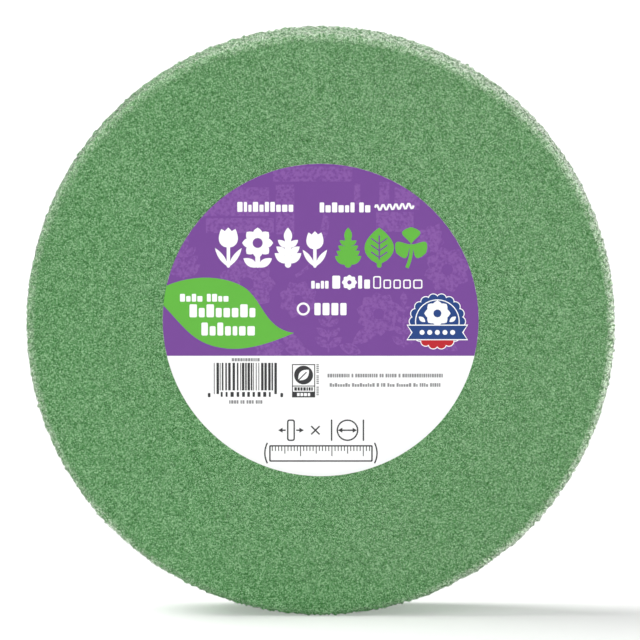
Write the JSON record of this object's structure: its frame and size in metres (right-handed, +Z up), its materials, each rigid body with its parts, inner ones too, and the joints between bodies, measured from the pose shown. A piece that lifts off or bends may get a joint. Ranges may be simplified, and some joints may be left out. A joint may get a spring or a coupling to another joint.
{
  "type": "floral foam disc",
  "caption": "Round dry floral foam disc, shrink-wrapped in clear film with a welded seam, with a round printed paper label on its front face.",
  "frame": {"origin": "on the floor, under the middle of the upright disc", "axes": "the front face with the label looks along -Y, +X is to its right as seen from the front, +Z is up; the disc stands on its rim"},
  "size_m": [0.2236, 0.0304, 0.2237],
  "materials": {
    "foam": "matte green open-cut foam with fine cells",
    "clear_film": "clear shrink film",
    "adhesive": "clear tacky layer",
    "label": "satin coated paper, printed in colour"
  },
  "bodies": {
    "root": {"foam_disc": "foam", "front_film": "clear_film", "back_film": "clear_film", "film_seam": "clear_film", "label_adhesive": "adhesive", "label_paper": "label"}
  },
  "joints": []
}
